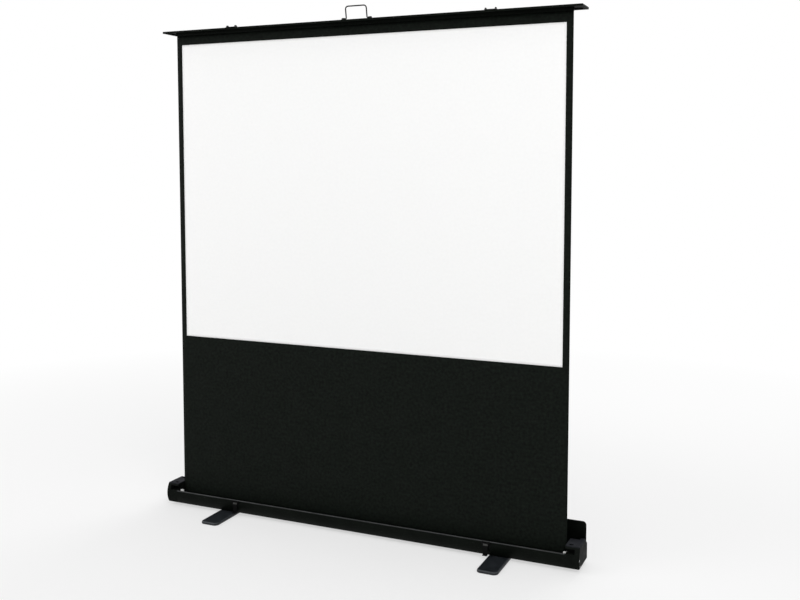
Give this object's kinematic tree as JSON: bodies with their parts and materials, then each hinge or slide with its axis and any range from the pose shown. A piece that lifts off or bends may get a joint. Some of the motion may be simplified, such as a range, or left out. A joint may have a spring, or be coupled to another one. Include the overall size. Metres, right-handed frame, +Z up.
{
  "type": "portable projection screen",
  "caption": "Floor-standing pull-up projection screen: low case on swivel feet, spring roller, scissor-raised lid bar and white viewing surface with black borders.",
  "frame": {"origin": "on the floor, under the middle of the case, between the feet", "axes": "+Z up, +X to the right seen from the front, the viewing surface faces -Y"},
  "size_m": [1.79, 0.394, 2.0608],
  "materials": {
    "black_aluminium": "satin black anodised",
    "cap_plastic": "moulded grain",
    "foot_plastic": "moulded grain",
    "rubber": "matte",
    "white_nylon": "smooth",
    "grey_nylon": "smooth",
    "raw_aluminium": "mill finish",
    "zinc_steel": "zinc plated",
    "black_steel": "black powder coat",
    "black_fabric": "matte coated cloth",
    "white_fabric": "matte white coating"
  },
  "bodies": {
    "case": {"base_trough": "black_aluminium", "rear_panel": "black_aluminium", "end_cap_left": "cap_plastic", "end_cap_right": "cap_plastic", "end_cap_screws": "zinc_steel", "guide_button_left": "white_nylon", "guide_button_right": "white_nylon", "spring_spindle": "zinc_steel", "idler_spindle": "zinc_steel", "torsion_spring": "zinc_steel", "base_bracket": "black_steel", "base_pivot_pin": "zinc_steel", "base_rail": "black_aluminium", "latch_base_left": "black_steel", "latch_base_right": "black_steel", "latch_pins": "black_steel", "foot_bolt_left": "zinc_steel", "foot_bolt_right": "zinc_steel", "screen_fabric": "black_fabric", "viewing_surface": "white_fabric"},
    "roller": {"roller_tube": "raw_aluminium", "roller_plug_left": "grey_nylon", "roller_plug_right": "grey_nylon", "fabric_wraps": "black_fabric"},
    "lower_front_arm": {"lower_front_arm": "black_steel", "lower_crossing_rivet": "zinc_steel", "right_elbow_rivet": "zinc_steel"},
    "lower_rear_arm": {"lower_rear_arm": "black_steel", "left_elbow_rivet": "zinc_steel"},
    "upper_rear_arm": {"upper_rear_arm": "black_steel", "upper_crossing_rivet": "zinc_steel"},
    "upper_front_arm": {"upper_front_arm": "black_steel"},
    "base_slider": {"base_slider": "grey_nylon"},
    "top_slider": {"top_slider": "grey_nylon"},
    "lid": {"lid_bar": "black_aluminium", "lid_cap_left": "cap_plastic", "lid_cap_right": "cap_plastic", "hem_channel": "black_aluminium", "hem_rod": "zinc_steel", "top_rail": "black_aluminium", "top_bracket": "black_steel", "top_pivot_pin": "zinc_steel", "catch_left": "black_steel", "catch_right": "black_steel", "handle_saddle_left": "black_steel", "handle_saddle_right": "black_steel"},
    "handle": {"carry_handle": "black_steel"},
    "latch_left": {"latch_hook_left": "black_steel"},
    "latch_right": {"latch_hook_right": "black_steel"},
    "foot_left": {"foot_left": "foot_plastic", "foot_pads_left": "rubber", "foot_washer_left": "grey_nylon"},
    "foot_right": {"foot_right": "foot_plastic", "foot_pads_right": "rubber", "foot_washer_right": "grey_nylon"}
  },
  "joints": [
    {"name": "screen_lowering", "type": "hinge", "parent": "case", "child": "lower_front_arm", "pos_m": [-0.34177, 0.0445, 0.033], "axis": [0, 1, 0], "range_deg": [0, 56.58], "deforming": ["screen_fabric", "viewing_surface"]},
    {"name": "lower_crossing", "type": "hinge", "parent": "lower_front_arm", "child": "lower_rear_arm", "pos_m": [-0.03597, 0.0445, 0.52238], "axis": [0, 1, 0], "range_deg": [-113.16, 0]},
    {"name": "right_elbow", "type": "hinge", "parent": "lower_front_arm", "child": "upper_rear_arm", "pos_m": [0.26982, 0.0445, 1.01175], "axis": [0, 1, 0], "range_deg": [-113.16, 0]},
    {"name": "upper_crossing", "type": "hinge", "parent": "upper_rear_arm", "child": "upper_front_arm", "pos_m": [-0.03597, 0.0445, 1.50113], "axis": [0, 1, 0], "range_deg": [0, 113.16]},
    {"name": "lid_pivot", "type": "hinge", "parent": "upper_rear_arm", "child": "lid", "pos_m": [-0.34177, 0.0445, 1.9905], "axis": [0, 1, 0], "range_deg": [0, 56.58]},
    {"name": "base_slider_pivot", "type": "hinge", "parent": "lower_rear_arm", "child": "base_slider", "pos_m": [0.26982, 0.0445, 0.033], "axis": [0, 1, 0], "range_deg": [0, 56.58]},
    {"name": "top_slider_pivot", "type": "hinge", "parent": "upper_front_arm", "child": "top_slider", "pos_m": [0.26982, 0.0445, 1.9905], "axis": [0, 1, 0], "range_deg": [-56.58, 0]},
    {"name": "roller_spin", "type": "hinge", "parent": "case", "child": "roller", "pos_m": [0, 0.004, 0.044], "axis": [1, 0, 0], "range_deg": [0, 4583.6]},
    {"name": "handle_swing", "type": "hinge", "parent": "lid", "child": "handle", "pos_m": [0, -0.024, 2.011], "axis": [1, 0, 0], "range_deg": [-98, 0]},
    {"name": "latch_left_swing", "type": "hinge", "parent": "case", "child": "latch_left", "pos_m": [-0.546, -0.072, 0.063], "axis": [1, 0, 0], "range_deg": [-180, 0]},
    {"name": "foot_left_swivel", "type": "hinge", "parent": "case", "child": "foot_left", "pos_m": [-0.592, 0, 0], "axis": [0, 0, 1], "range_deg": [0, 90]},
    {"name": "latch_right_swing", "type": "hinge", "parent": "case", "child": "latch_right", "pos_m": [0.546, -0.072, 0.063], "axis": [1, 0, 0], "range_deg": [-180, 0]},
    {"name": "foot_right_swivel", "type": "hinge", "parent": "case", "child": "foot_right", "pos_m": [0.592, 0, 0], "axis": [0, 0, 1], "range_deg": [-90, 0]}
  ],
  "couplings": [
    {"joint": "lower_crossing", "follows": "screen_lowering", "ratio": -2},
    {"joint": "right_elbow", "follows": "screen_lowering", "ratio": -2},
    {"joint": "upper_crossing", "follows": "screen_lowering", "ratio": 2},
    {"joint": "lid_pivot", "follows": "screen_lowering", "ratio": 1},
    {"joint": "base_slider_pivot", "follows": "screen_lowering", "ratio": 1},
    {"joint": "top_slider_pivot", "follows": "screen_lowering", "ratio": -1},
    {"joint": "roller_spin", "follows": "screen_lowering", "ratio": 81.002}
  ]
}
